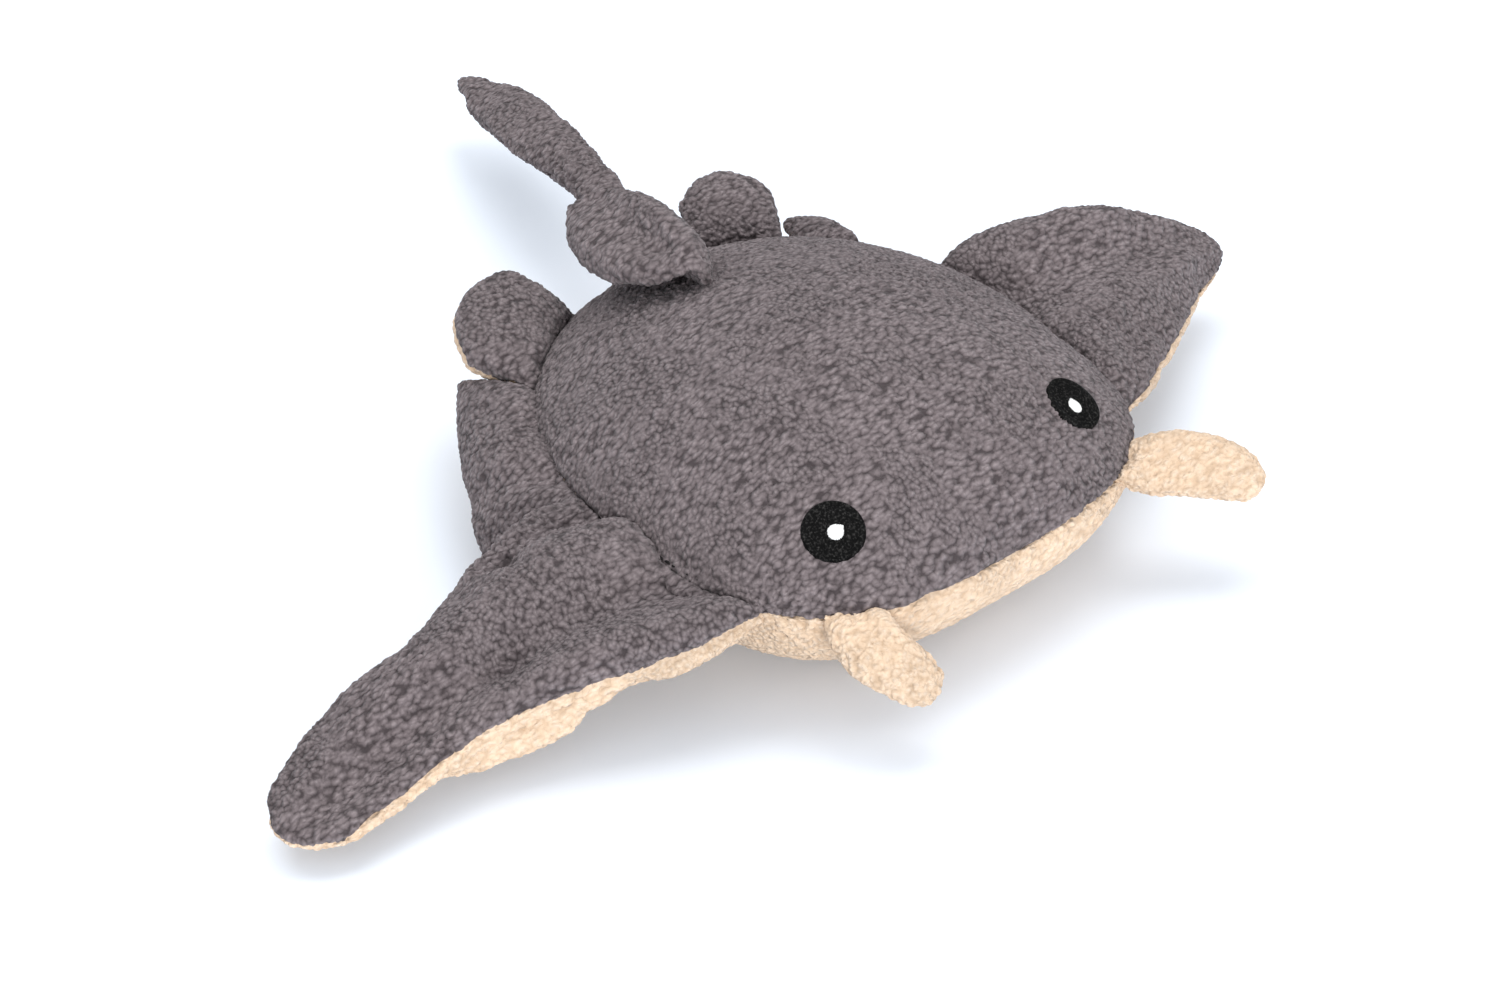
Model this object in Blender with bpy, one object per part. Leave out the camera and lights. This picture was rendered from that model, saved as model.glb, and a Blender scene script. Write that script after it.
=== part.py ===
"""Plush manta ray: fleece panels sewn over stuffing, every fin a small pillow hinged at its seam.

Frame: metres, +Z up, nose towards -Y, tail towards +Y, the ray's right side at -X.
The origin is the middle of the flat spot that the belly rests on.
"""
import math

import bmesh
import bpy
from mathutils import Vector
from mathutils.bvhtree import BVHTree

# ---- Driving dimensions ---------------------------------------------------------------------
MM = 0.001

# Body: an oval bun with a seam all round, between the back panel and the belly panel.
BODY_HALF_WIDTH = 89 * MM
BODY_NOSE = 89 * MM
BODY_REAR = 104 * MM
NOSE_SQUARENESS = 2.9
REAR_SQUARENESS = 2.05
SEAM_HEIGHT = 40 * MM
BACK_RISE = 41 * MM
BELLY_DROP = 44 * MM
SEAM_PUFF = 0.02

# Powers of the body's section: how fast it narrows, and how fast it rises, away from the seam.
BACK_PROFILE = (1.1, 1.6)
BELLY_PROFILE = (0.7, 1.0)

# Cloth and sewing. A fin's wall is thicker than its cloth, to help keep its inner face from
# crossing its outer one near the root.
FLEECE = 2.2 * MM
FIN_WALL = 3.0 * MM
GAP = 0.3 * MM
PATCH_THICKNESS = 0.8 * MM
PATCH_GAP = 0.4 * MM
THREAD_RADIUS = 0.4 * MM
THREAD_OFFSET = 0.9 * MM
THREAD_BEARINGS = (46, 171)
THREAD_POINTS = 34

# Fins: clearance between a fin's root and the body, so that it can swing.
WING_CLEARANCE = 4.0 * MM
FIN_CLEARANCE = 3.4 * MM

# A fin's layers, as the share of the fin's outline that each surface covers.
LAYER_SCALE = {"outer": 1.0, "inner": 0.76, "core": 0.66}
CORE_FILL = 0.7

# Eyes: embroidered discs on the front of the back.
EYE_PLACE = (50.5 * MM, -59 * MM)
EYE_RADIUS = 10.2 * MM
HIGHLIGHT_RADIUS = 2.6 * MM
HIGHLIGHT_RISE = 0.5 * MM

BODY_CELLS = (14, 14)
WING_CELLS = (14, 10)
FIN_CELLS = (10, 8)
BACK_FIN_CELLS = (8, 8)
TAIL_CELLS = (14, 8)
EYE_CELLS = (6, 6)

GREY = (0.165, 0.145, 0.142)
CREAM = (0.78, 0.62, 0.42)
STUFFING = (0.86, 0.86, 0.84)
BLACK = (0.012, 0.012, 0.013)
WHITE = (0.85, 0.85, 0.84)

# Sides of the body, as the sign of X.
RIGHT = -1
LEFT = 1

# ---- Fins -----------------------------------------------------------------------------------
# Bearings run from the nose (0) to the tail (180) and say where the root is sewn to the seam.
# "lead" and "trail" are the two edges from root to tip, in millimetres, without their root point,
# which lies on the seam. "above" and "below" are how far its two faces stand off its middle
# surface, at the root and at the tip. The bow rounds the tip, and the ridge arches the middle.
FINS = {
    "right_wing": dict(
        side=RIGHT, bearings=(51, 104), cells=WING_CELLS,
        clearance=WING_CLEARANCE, above=(9, 6.5), below=(13.5, 8),
        lead=((-103, -54, 34), (-131, -43, 27), (-160, -32, 20), (-188, -27, 14), (-219, -26, 10)),
        trail=((-112, 27, 37), (-136, 22, 32), (-163, 12, 26), (-192, 8, 20), (-224, -4, 13)),
        bow=(-8, -2, 0), ridge=2, under="cream",
    ),
    "left_wing": dict(
        side=LEFT, bearings=(51, 104), cells=WING_CELLS,
        clearance=WING_CLEARANCE, above=(9, 6.5), below=(11, 7.5),
        lead=((97, -50, 33), (117, -39, 29), (138, -27, 26), (158, -15, 23), (178, -4, 21)),
        trail=((104, 29, 51), (121, 29, 55), (140, 26, 50), (158, 22, 42), (177, 15, 31)),
        bow=(6, 0, -1), ridge=-6, under="cream",
    ),
    "right_rear_fin": dict(
        side=RIGHT, bearings=(108, 137), cells=FIN_CELLS,
        clearance=FIN_CLEARANCE, above=(6.5, 5.5), below=(6.5, 5.5),
        lead=((-102, 36, 28), (-112, 43, 16)),
        trail=((-68, 89, 36), (-72, 102, 30)),
        bow=(-2, 1, -1), ridge=2, under="cream",
    ),
    "left_rear_fin": dict(
        side=LEFT, bearings=(108, 137), cells=FIN_CELLS,
        clearance=FIN_CLEARANCE, above=(6.5, 5.5), below=(6.5, 5.5),
        lead=((98, 38, 26), (104, 45, 11)),
        trail=((70, 89, 35), (77, 103, 33)),
        bow=(3, 1, -1), ridge=2, under="cream",
    ),
    "right_pelvic_lobe": dict(
        side=RIGHT, bearings=(147, 164), cells=FIN_CELLS,
        clearance=FIN_CLEARANCE, above=(6.5, 6.5), below=(6.5, 6.5),
        lead=((-61, 97, 46), (-66, 107, 50)),
        trail=((-29, 106, 45), (-34, 117, 50)),
        bow=(-6, 10, 3), ridge=1, under="cream",
    ),
    "left_pelvic_lobe": dict(
        side=LEFT, bearings=(147, 164), cells=FIN_CELLS,
        clearance=FIN_CLEARANCE, above=(6.5, 6.5), below=(6.5, 6.5),
        lead=((60, 95, 45), (64, 103, 48)),
        trail=((29, 107, 46), (33, 116, 50)),
        bow=(5, 11, 4), ridge=1, under="cream",
    ),
    "tail": dict(
        side=RIGHT, bearings=(175, 185), cells=TAIL_CELLS,
        clearance=FIN_CLEARANCE, above=(6.5, 5.5), below=(6.5, 5.5),
        lead=((4, 127, 42), (16, 147, 41), (21, 172, 38), (25, 205, 33), (34, 236, 28), (44, 256, 24)),
        trail=((19, 121, 42), (32, 144, 41), (41, 172, 39), (50, 203, 36), (55, 232, 30), (55, 256, 24)),
        bow=(1, 7, -1), ridge=0, under="grey",
    ),
    "right_cephalic_fin": dict(
        side=RIGHT, bearings=(43, 31), cells=FIN_CELLS,
        clearance=FIN_CLEARANCE, above=(6, 5.5), below=(6, 5.5),
        lead=((-70, -81, 33), (-67, -92, 26), (-59, -102, 21)),
        trail=((-49, -89, 36), (-46, -97, 31), (-44, -102, 26)),
        bow=(0, -6, -3), ridge=2, under="cream",
    ),
    "left_cephalic_fin": dict(
        side=LEFT, bearings=(43, 31), cells=FIN_CELLS,
        clearance=FIN_CLEARANCE, above=(6, 5.5), below=(6, 5.5),
        lead=((80, -80, 42), (90, -89, 40), (95, -98, 37)),
        trail=((57, -89, 35), (70, -100, 33), (82, -109, 31)),
        bow=(4, -5, -1), ridge=1, under="cream",
    ),
}

# The back fin is sewn along the top of the back instead of to the seam, and flops to the right.
BACK_FIN_ROOT = ((-8 * MM, 49 * MM), (-3 * MM, 88 * MM))
BACK_FIN = dict(
    cells=BACK_FIN_CELLS, above=(4, 4), below=(4, 4), under="grey",
    lead=((-13, 52, 84), (-20, 58, 82)),
    trail=((-4, 102, 74), (-13, 113, 73)),
    bow=(-6, 0, 0), ridge=0,
)


# ---- Curves and surfaces --------------------------------------------------------------------
def oval_point(bearing, side, out=0.0):
    """Point on the seam's oval at a bearing from the nose, moved outwards by out."""
    x = side * math.sin(math.radians(bearing))
    y = -math.cos(math.radians(bearing))
    reach = oval_reach(x, y) + out
    return Vector((x * reach, y * reach, SEAM_HEIGHT))


def oval_reach(x, y):
    """Distance from the centre to the seam in the plan direction (x, y) of length 1."""
    power = NOSE_SQUARENESS if y < 0 else REAR_SQUARENESS
    length = BODY_NOSE if y < 0 else BODY_REAR
    return (abs(x / BODY_HALF_WIDTH) ** power + abs(y / length) ** power) ** (-1 / power)


def body_point(x, y, rise, profile, inset=0.0):
    """Point of the body over the unit disc; rise is negative on the belly, inset goes inwards."""
    radius = min(math.hypot(x, y), 1.0)
    rise -= math.copysign(inset, rise)
    if radius < 1e-9:
        return Vector((0, 0, SEAM_HEIGHT + rise))
    lift = (1 - radius) * math.pi / 2
    reach = oval_reach(x / radius, y / radius) - inset
    reach *= math.cos(lift) ** profile[0] + SEAM_PUFF * math.sin(2 * lift)
    height = SEAM_HEIGHT + rise * math.sin(lift) ** profile[1]
    return Vector((x / radius * reach, y / radius * reach, height))


def back_spot(x, y):
    """Disc coordinates of the point of the back that lies above or below (x, y) in plan."""
    goal = Vector((x, y))
    way = goal.normalized()
    low, high = 0.0, 1.0
    for _ in range(30):
        half = (low + high) / 2
        if body_point(*(way * half), BACK_RISE, BACK_PROFILE).xy.length < goal.length:
            low = half
        else:
            high = half
    return way * low


def surface_normal(surface, a, b, step=1e-3):
    """Normal of a surface(a, b) from its differences, whichever way the surface faces."""
    along = surface(a + step, b) - surface(a - step, b)
    across = surface(a, b + step) - surface(a, b - step)
    return along.cross(across).normalized()


def body_sheet(rise, profile, inset):
    """Function of (x, y) giving the body's surface, inset for the inside of the cloth."""
    clear = GAP / 2 + max(0, inset - FLEECE)
    def place(x, y):
        point = body_point(x, y, rise, profile, inset)
        if rise > 0:
            point.z = max(point.z, SEAM_HEIGHT + clear)
        else:
            point.z = max(min(point.z, SEAM_HEIGHT - clear), inset)
        return point
    return place


def spline_point(points, t):
    """Point at t, from 0 to 1, of a Catmull-Rom spline through the points."""
    spans = len(points) - 1
    index = min(int(t * spans), spans - 1)
    s = t * spans - index
    before = points[max(index - 1, 0)]
    start, end = points[index], points[index + 1]
    after = points[min(index + 2, spans)]
    return 0.5 * (
        2 * start + (end - before) * s
        + (2 * before - 5 * start + 4 * end - after) * s ** 2
        + (3 * start - before - 3 * end + after) * s ** 3
    )


def fin_middle(fin, root):
    """Function of (u, v) giving the middle surface: u from root to tip, v from -1 to 1 across."""
    lead = [root(-1)] + [Vector(p) * MM for p in fin["lead"]]
    trail = [root(1)] + [Vector(p) * MM for p in fin["trail"]]
    bow = Vector(fin["bow"]) * MM
    def middle(u, v):
        share = (1 + v) / 2
        point = spline_point(lead, u).lerp(spline_point(trail, u), share)
        point += (root(v) - root(-1).lerp(root(1), share)) * (1 - u) ** 3
        point += bow * (1 - v * v) * max(u, 0) ** 4
        point.z += fin["ridge"] * MM * (1 - v * v) * math.sin(math.pi * max(u, 0))
        return point
    return middle


def fin_height(fin, way, u, v):
    """Height of a fin's face off its middle surface: full inside, and nothing at every edge."""
    at_root, at_tip = fin["above"] if way > 0 else fin["below"]
    full = (at_root + (at_tip - at_root) * u) * MM
    across = math.sqrt(max(0, 1 - v ** 4))
    along = math.sqrt(max(0, (1 - (1 - u) ** 6) * (1 - u ** 6)))
    return full * across * along


def fin_sheet(fin, middle, way, layer):
    """Function of (x, y) in -1 to 1 giving one surface of a fin; way is 1 above and -1 below."""
    face_up = math.copysign(1, surface_normal(middle, 0.5, 0).z)
    def place(x, y):
        u = 0.5 + 0.5 * x * LAYER_SCALE[layer]
        v = y * LAYER_SCALE[layer]
        height = fin_height(fin, way, u, v)
        if layer != "outer":
            height = max(height - FIN_WALL, 0.55 * height)
        if layer == "core":
            height *= CORE_FILL
        else:
            height += GAP / 2
        inside = min(max(u, 0.002), 0.998)
        normal = surface_normal(middle, inside, min(max(v, -0.998), 0.998))
        return middle(u, v) + normal * height * way * face_up
    return place


# ---- Solids ---------------------------------------------------------------------------------
def disc_from_square(x, y):
    """Point of the unit disc for a point of the square from -1 to 1, with even spacing."""
    return x * math.sqrt(1 - y * y / 2), y * math.sqrt(1 - x * x / 2)


def solid_between(name, upper, lower, cells, origin, round_outline=False):
    """Closed solid between two sheets, each a function over the square from -1 to 1."""
    mesh = bmesh.new()
    bmesh.ops.create_grid(mesh, x_segments=cells[0], y_segments=cells[1], size=1.0)
    top_faces = list(mesh.faces)
    bottom = bmesh.ops.duplicate(mesh, geom=mesh.verts[:] + mesh.edges[:] + mesh.faces[:])
    bottom_faces = [g for g in bottom["geom"] if isinstance(g, bmesh.types.BMFace)]
    bottom_verts = {v for f in bottom_faces for v in f.verts}
    bmesh.ops.translate(mesh, verts=list(bottom_verts), vec=(0, 0, -1))
    bmesh.ops.reverse_faces(mesh, faces=bottom_faces)
    rims = [e for e in mesh.edges if e.is_boundary]
    bmesh.ops.bridge_loops(mesh, edges=rims)
    for vertex in mesh.verts:
        x, y = vertex.co.x, vertex.co.y
        if round_outline:
            x, y = disc_from_square(x, y)
        sheet = lower if vertex in bottom_verts else upper
        vertex.co = sheet(x, y) - origin
    bmesh.ops.triangulate(mesh, faces=top_faces + bottom_faces)
    bmesh.ops.recalc_face_normals(mesh, faces=mesh.faces)
    if mesh.calc_volume(signed=True) < 0:
        bmesh.ops.reverse_faces(mesh, faces=mesh.faces)
    data = bpy.data.meshes.new(name)
    mesh.to_mesh(data)
    mesh.free()
    data.shade_smooth()
    data.set_sharp_from_angle(angle=math.radians(50))
    return data


def add_object(name, data, material, parent=None, location=None):
    """Put a mesh or curve in the object's collection, under a hinge where it has one."""
    piece = bpy.data.objects.new(name, data)
    data.materials.append(material)
    collection.objects.link(piece)
    if parent:
        piece.parent = parent
    if location:
        piece.location = location
    return piece


def add_hinge(name, place):
    """Empty on a joint's axis, which carries the pieces that swing about it."""
    hinge = bpy.data.objects.new(name + "_hinge", None)
    hinge.empty_display_size = 0.02
    hinge.location = place
    collection.objects.link(hinge)
    return hinge


def make_material(name, colour, roughness):
    material = bpy.data.materials.new(name)
    material.use_nodes = True
    shader = material.node_tree.nodes["Principled BSDF"]
    shader.inputs["Base Color"].default_value = (*colour, 1)
    shader.inputs["Roughness"].default_value = roughness
    shader.inputs["Metallic"].default_value = 0
    return material


# ---- Sub-parts ------------------------------------------------------------------------------
def make_body():
    """Back panel, belly panel and the stuffing between them."""
    core = FLEECE + 4 * GAP
    over = (BACK_RISE, BACK_PROFILE)
    under = (-BELLY_DROP, BELLY_PROFILE)
    layers = (
        ("belly_panel", body_sheet(*under, FLEECE), body_sheet(*under, 0), CREAM),
        ("body_stuffing", body_sheet(*over, core), body_sheet(*under, core), STUFFING),
        ("back_panel", body_sheet(*over, 0), body_sheet(*over, FLEECE), GREY),
    )
    for node, upper, lower, colour in layers:
        data = solid_between(node, upper, lower, BODY_CELLS, Vector((0, 0, 0)), round_outline=True)
        piece = add_object(node, data, make_material(node, colour, 0.95))
    return piece


def make_fin(name, fin, root, panels=("top", "belly")):
    """One fin: two panels sewn at the rim over their own stuffing, hung on its hinge."""
    middle = fin_middle(fin, root)
    origin = (root(-1) + root(1)) / 2
    hinge = add_hinge(name, origin)
    under = CREAM if fin["under"] == "cream" else GREY
    over = CREAM if "cephalic" in name else GREY
    layers = (
        (panels[0], (1, "outer"), (1, "inner"), over),
        (panels[1], (-1, "inner"), (-1, "outer"), under),
        ("stuffing", (1, "core"), (-1, "core"), STUFFING),
    )
    for word, upper, lower, colour in layers:
        node = f"{name}_{word}"
        data = solid_between(node, fin_sheet(fin, middle, *upper), fin_sheet(fin, middle, *lower),
                             fin["cells"], origin)
        add_object(node, data, make_material(node, colour, 0.95), parent=hinge)


def seam_root(fin):
    """Function of v giving the fin's root along the body's seam."""
    first, last = fin["bearings"]
    def root(v):
        return oval_point(first + (last - first) * (1 + v) / 2, fin["side"], fin["clearance"])
    return root


def back_fin_root(v):
    """Root of the back fin, a clearance above the top of the back."""
    start, end = (Vector((*p, 0)) for p in BACK_FIN_ROOT)
    place = start.lerp(end, (1 + v) / 2)
    spot = back_spot(place.x, place.y)
    place.z = body_point(*spot, BACK_RISE, BACK_PROFILE).z + FIN_CLEARANCE
    return place


def make_disc_on(name, base, centre, outward, radius, gap, thickness, material):
    """Thin disc that follows the base object's surface around a centre point."""
    tree = BVHTree.FromObject(base, bpy.context.evaluated_depsgraph_get())
    side = outward.cross(Vector((0, 0, 1))).normalized()
    up = side.cross(outward)
    def sheet(height):
        def place(x, y):
            start = centre + side * x * radius + up * y * radius + outward * 0.02
            hit = tree.ray_cast(start, -outward)[0]
            return hit + outward * height
        return place
    data = solid_between(name, sheet(gap + thickness), sheet(gap), EYE_CELLS,
                         Vector((0, 0, 0)), round_outline=True)
    return add_object(name, data, material)


def make_eyes(back):
    """Black embroidered eye patches, each with a small white highlight stitched on top."""
    black = make_material("eye_black", BLACK, 0.45)
    white = make_material("eye_white", WHITE, 0.6)
    def surface(a, b):
        return body_point(a, b, BACK_RISE, BACK_PROFILE)
    for word, side in (("right", RIGHT), ("left", LEFT)):
        spot = back_spot(side * EYE_PLACE[0], EYE_PLACE[1])
        outward = surface_normal(surface, *spot)
        centre = surface(*spot)
        patch = make_disc_on(f"{word}_eye_patch", back, centre, outward, EYE_RADIUS,
                             PATCH_GAP, PATCH_THICKNESS, black)
        make_disc_on(f"{word}_eye_highlight", patch, centre, outward, HIGHLIGHT_RADIUS,
                     GAP, HIGHLIGHT_RISE, white)


def make_seam_thread(word, side):
    """The sewing thread that lies in the ditch between the body and the fins' roots."""
    first, last = THREAD_BEARINGS
    curve = bpy.data.curves.new(f"{word}_seam_thread", "CURVE")
    curve.dimensions = "3D"
    curve.bevel_depth = THREAD_RADIUS
    curve.bevel_resolution = 1
    curve.use_fill_caps = True
    spline = curve.splines.new("POLY")
    spline.points.add(THREAD_POINTS - 1)
    for i, point in enumerate(spline.points):
        bearing = first + (last - first) * i / (THREAD_POINTS - 1)
        point.co = (*oval_point(bearing, side, THREAD_OFFSET), 1)
    add_object(f"{word}_seam_thread", curve, make_material(f"{word}_seam_thread", BLACK, 0.6))


for old in list(bpy.data.objects):
    bpy.data.objects.remove(old)
collection = bpy.data.collections.new("plush_manta_ray")
bpy.context.scene.collection.children.link(collection)

back_panel = make_body()
for fin_name, fin_shape in FINS.items():
    make_fin(fin_name, fin_shape, seam_root(fin_shape))
make_fin("back_fin", BACK_FIN, back_fin_root, panels=("left_panel", "right_panel"))
make_eyes(back_panel)
make_seam_thread("right", RIGHT)
make_seam_thread("left", LEFT)
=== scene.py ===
import math

import bpy
import numpy as np
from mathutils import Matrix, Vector
from mathutils.bvhtree import BVHTree


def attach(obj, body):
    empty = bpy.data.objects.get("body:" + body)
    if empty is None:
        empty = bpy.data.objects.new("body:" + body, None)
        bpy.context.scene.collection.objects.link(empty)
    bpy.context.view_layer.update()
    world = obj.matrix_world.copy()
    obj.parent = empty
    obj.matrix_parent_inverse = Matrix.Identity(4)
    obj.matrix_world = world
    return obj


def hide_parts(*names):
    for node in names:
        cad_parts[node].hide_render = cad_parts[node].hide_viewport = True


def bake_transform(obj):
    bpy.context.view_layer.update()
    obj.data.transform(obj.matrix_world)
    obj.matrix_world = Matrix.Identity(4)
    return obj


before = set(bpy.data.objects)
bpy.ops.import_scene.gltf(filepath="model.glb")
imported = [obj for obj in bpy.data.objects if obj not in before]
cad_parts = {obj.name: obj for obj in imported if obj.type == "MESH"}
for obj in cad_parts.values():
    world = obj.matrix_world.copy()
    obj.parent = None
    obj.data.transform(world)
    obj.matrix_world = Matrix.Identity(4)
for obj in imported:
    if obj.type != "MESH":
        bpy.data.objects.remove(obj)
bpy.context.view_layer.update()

MM = 0.001

# ---- Body -----------------------------------------------------------------------------------
BODY_HALF_WIDTH = 89 * MM
BODY_NOSE = 89 * MM
BODY_REAR = 104 * MM
NOSE_SQUARENESS = 2.9
REAR_SQUARENESS = 2.05
SEAM_HEIGHT = 40 * MM
BACK_RISE = 41 * MM
BELLY_DROP = 44 * MM
SEAM_PUFF = 0.02
BACK_PROFILE = (1.1, 1.6)
BELLY_PROFILE = (0.66, 1.0)
BODY_CELLS = 39

# ---- Cloth ----------------------------------------------------------------------------------
FIN_CELL = 4.4 * MM
SUBDIVISIONS = 3
SEWN_IN = 1.8 * MM
CLOTH_FRAMES = 20
CLOTH_PRESSURE = 4.0
CLOTH_GROWTH = 0.06
MOST_SWELLING = 1.6 * MM
PLUMP = 0.95
BODY_SLACK = 1.5 * MM
FIN_SLACK = 0.3 * MM
# How firmly the simulation pins the cloth, at the seam and away from it.
BODY_HOLD = (0.9, 0.08)
FIN_HOLD = (0.55, 0.02)
# Behind this y the fins hide the body's rim, and the back's panel is tucked under it by a share of
# the rim's cells, whose length is BODY_RIM_CELL.
TUCK_START = -38 * MM
TUCK = 0.7
BODY_RIM_CELL = 5.2 * MM
# Depth to which a seam draws the cloth in, and height of the gathers beside it.
BODY_PUCKER = (1.6 * MM, 0.8 * MM)
FIN_PUCKER = (0.7 * MM, 0.6 * MM)
GATHERED_WIDTH = 6 * MM
# Where the stretch out from a fin's root that bend_line gives starts and ends.
BEND_START = 1 * MM
BEND_END = {"right_wing": 20 * MM, "left_wing": 20 * MM, "tail": 16 * MM}
SHORT_BEND_END = 11 * MM

# ---- Fleece pile ----------------------------------------------------------------------------
# Curls are modelled at PILL across and PILE high; the material's finer curls sit on top of them.
# Both are stretched one way in combed patches.
PILL = 2.2 * MM
COMB = np.array([1.0, 0.62, 0.9])
PILE = 1.25 * MM
CURLS_PER_METRE = 620.0
LOOSE_STRETCH = (1.0, 1.0, 0.95)
COMBED_STRETCH = (0.55, 1.05, 0.85)

# ---- Embroidery and sewing thread -----------------------------------------------------------
EYE_PLACE = (51.2 * MM, -60 * MM)
EYE_RADIUS = 10.4 * MM
EYE_RING = EYE_RADIUS - 2.6 * MM
HIGHLIGHT_RADIUS = 2.75 * MM
HIGHLIGHT_SHIFT = {"right": (-0.6 * MM, 0.6 * MM), "left": (2.2 * MM, 0.4 * MM)}
HIGHLIGHT_SPUR = 0.3
SPUR_TURN = 2.4
STITCH_BEARINGS = (54, 163)
STITCH_PITCH = 3.1 * MM
STITCH_GAP = 0.25 * MM
STITCH_RADIUS = 0.45 * MM
STITCH_SINK = 0.5 * MM
STITCH_INSET = 2.2 * MM
STITCH_RISE = 1.4 * MM

RIGHT, LEFT = -1, 1

# Bearings run from the nose (0) to the tail (180). Lengths are in millimetres. Lead and trail are
# points on a fin's two edges from root to tip; above and below are how far its faces stand off its
# middle surface at the root and at the tip; rounding draws its sides together at the tip.
# Creases are (u, v, u, v, width, depth, faces): a line over the fin, u from root to tip and v from
# its leading edge (-1) to its trailing edge (1); depth is negative for a ridge, and faces says
# whether it is pressed into the top (1), the underside (-1) or bends the whole fin (0).
# Seam is how far the underside's panel climbs over the leading edge (one or more values from root
# to tip), the trailing edge and the tip on to the top; it is negative where the top's panel wraps
# underneath.
FINS = {
    "right_wing": dict(
        side=RIGHT, bearings=(51, 107), above=(9, 6.5), below=(14, 8),
        lead=((-103, -54, 34), (-131, -43, 27), (-160, -34, 19), (-187, -32, 13), (-216, -33, 10)),
        trail=((-110, 27, 37), (-134, 21, 33), (-163, 12, 27), (-194, 9, 21), (-227, -3, 14)),
        bow=(-12, -3, -1), ridge=2, seam=((0.5, 1.5, 3.5, 8.0, 9.0, 8.0), -2.5, 0.5),
        creases=((0.0, 0.60, 0.34, 0.72, 6, 5.5, 1), (0.04, 0.25, 0.85, 0.25, 13, -5.0, 1),
                 (0.0, -0.35, 0.50, -0.30, 8, 7.0, 1), (0.50, -0.30, 0.90, -0.15, 9, 4.0, 1),
                 (0.10, -0.78, 0.90, -0.72, 9, -4.0, 1), (0.30, 0.55, 0.30, 0.95, 5, 3.0, 1),
                 (0.50, -0.95, 0.68, -0.95, 15, -7.5, -1), (0.80, -1.0, 0.90, -1.0, 8, 3.5, -1),
                 (0.10, -1.0, 0.36, -1.0, 10, -3.0, -1)),
    ),
    "left_wing": dict(
        side=LEFT, bearings=(51, 116), above=(9, 6.5), below=(11, 7.5),
        lead=((97, -50, 33), (117, -39, 29), (138, -27, 26), (158, -15, 23), (178, -4, 21)),
        trail=((95, 38, 49), (116, 33, 52), (139, 26, 49), (158, 21, 42), (178, 13, 31)),
        bow=(7, -1, -2), ridge=-7, seam=((3.0,), -2.0, 0.0),
        creases=((0.05, 0.30, 0.75, 0.35, 9, 3.5, 1), (0.10, -0.35, 0.85, -0.20, 10, -4.0, 1),
                 (0.0, 0.85, 0.7, 0.85, 6, -2.0, 1)),
    ),
    "right_rear_fin": dict(
        side=RIGHT, bearings=(103, 141), above=(6.5, 5.5), below=(6.5, 5.5),
        lead=((-103, 30, 27), (-112, 38, 15)), trail=((-68, 91, 38), (-72, 105, 34)),
        bow=(-1, 1, -1), ridge=2, rounding=0.08, seam=((-6.0,), -2.0, -2.5),
        creases=((0.0, -0.5, 0.7, -0.4, 6, 3.0, 1), (0.0, 0.35, 0.5, 0.4, 6, 2.0, 1)),
    ),
    "left_rear_fin": dict(
        side=LEFT, bearings=(110, 142), above=(6.5, 5.5), below=(6.5, 5.5),
        lead=((98, 38, 20), (103, 45, 6)), trail=((62, 94, 40), (64, 100, 41)),
        bow=(5, 7, 2), ridge=0, rounding=0.32, seam=((-6.0,), -6.0, -6.0),
        creases=((0.0, -0.1, 1.0, -0.05, 9, 9.0, 0), (0.0, -0.75, 1.0, -0.7, 8, 2.0, 0),
                 (0.2, 0.55, 1.0, 0.55, 9, -4.0, 0)),
    ),
    "right_pelvic_lobe": dict(
        side=RIGHT, bearings=(140, 165), above=(7, 7), below=(8.5, 9.5),
        lead=((-69, 87, 42), (-73, 96, 44)), trail=((-31, 108, 48), (-37, 120, 53)),
        bow=(-7, 10, 2), ridge=1, seam=((0.0, -1.0, 0.0), -2.0, 1.0), creases=(),
    ),
    "left_pelvic_lobe": dict(
        side=LEFT, bearings=(147, 164), above=(6.5, 6.5), below=(6.5, 6.5),
        lead=((60, 95, 45), (64, 103, 48)), trail=((29, 107, 46), (33, 116, 50)),
        bow=(5, 11, 4), ridge=1, seam=((-3.0,), -3.0, -3.0), creases=(),
    ),
    "tail": dict(
        side=RIGHT, bearings=(176, 184), above=(6, 5.5), below=(6, 5.5),
        lead=((4, 127, 42), (16, 147, 41), (21, 172, 38), (25, 205, 33), (34, 236, 28),
              (44, 256, 24)),
        trail=((19, 121, 42), (32, 144, 41), (41, 172, 39), (50, 203, 36), (55, 232, 30),
               (55, 256, 24)),
        bow=(0, 8, -1), ridge=0, seam=((0.0,), 0.0, 0.0),
        creases=((0.30, -0.05, 0.80, 0.0, 4, -0.9, 1),),
    ),
    "right_cephalic_fin": dict(
        side=RIGHT, bearings=(43, 31), above=(6, 5.5), below=(6, 5.5),
        lead=((-70, -81, 33), (-67, -92, 26), (-59, -102, 21)),
        trail=((-49, -89, 36), (-46, -97, 31), (-44, -102, 26)),
        bow=(0, -6, -3), ridge=2, seam=((0.0,), 0.0, 0.0),
        creases=((0.05, 0.0, 0.45, 0.1, 3.5, 2.0, 1),),
    ),
    "left_cephalic_fin": dict(
        side=LEFT, bearings=(43, 31), above=(6, 5.5), below=(6, 5.5),
        lead=((80, -80, 42), (90, -89, 40), (95, -98, 37)),
        trail=((57, -89, 35), (70, -100, 33), (82, -109, 31)),
        bow=(4, -5, -1), ridge=1, seam=((0.0,), 0.0, 0.0),
        creases=((0.0, 0.0, 0.5, 0.1, 3.5, 1.5, 1),),
    ),
}
BACK_FIN_ROOT = ((-8 * MM, 49 * MM), (-3 * MM, 88 * MM))
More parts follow.
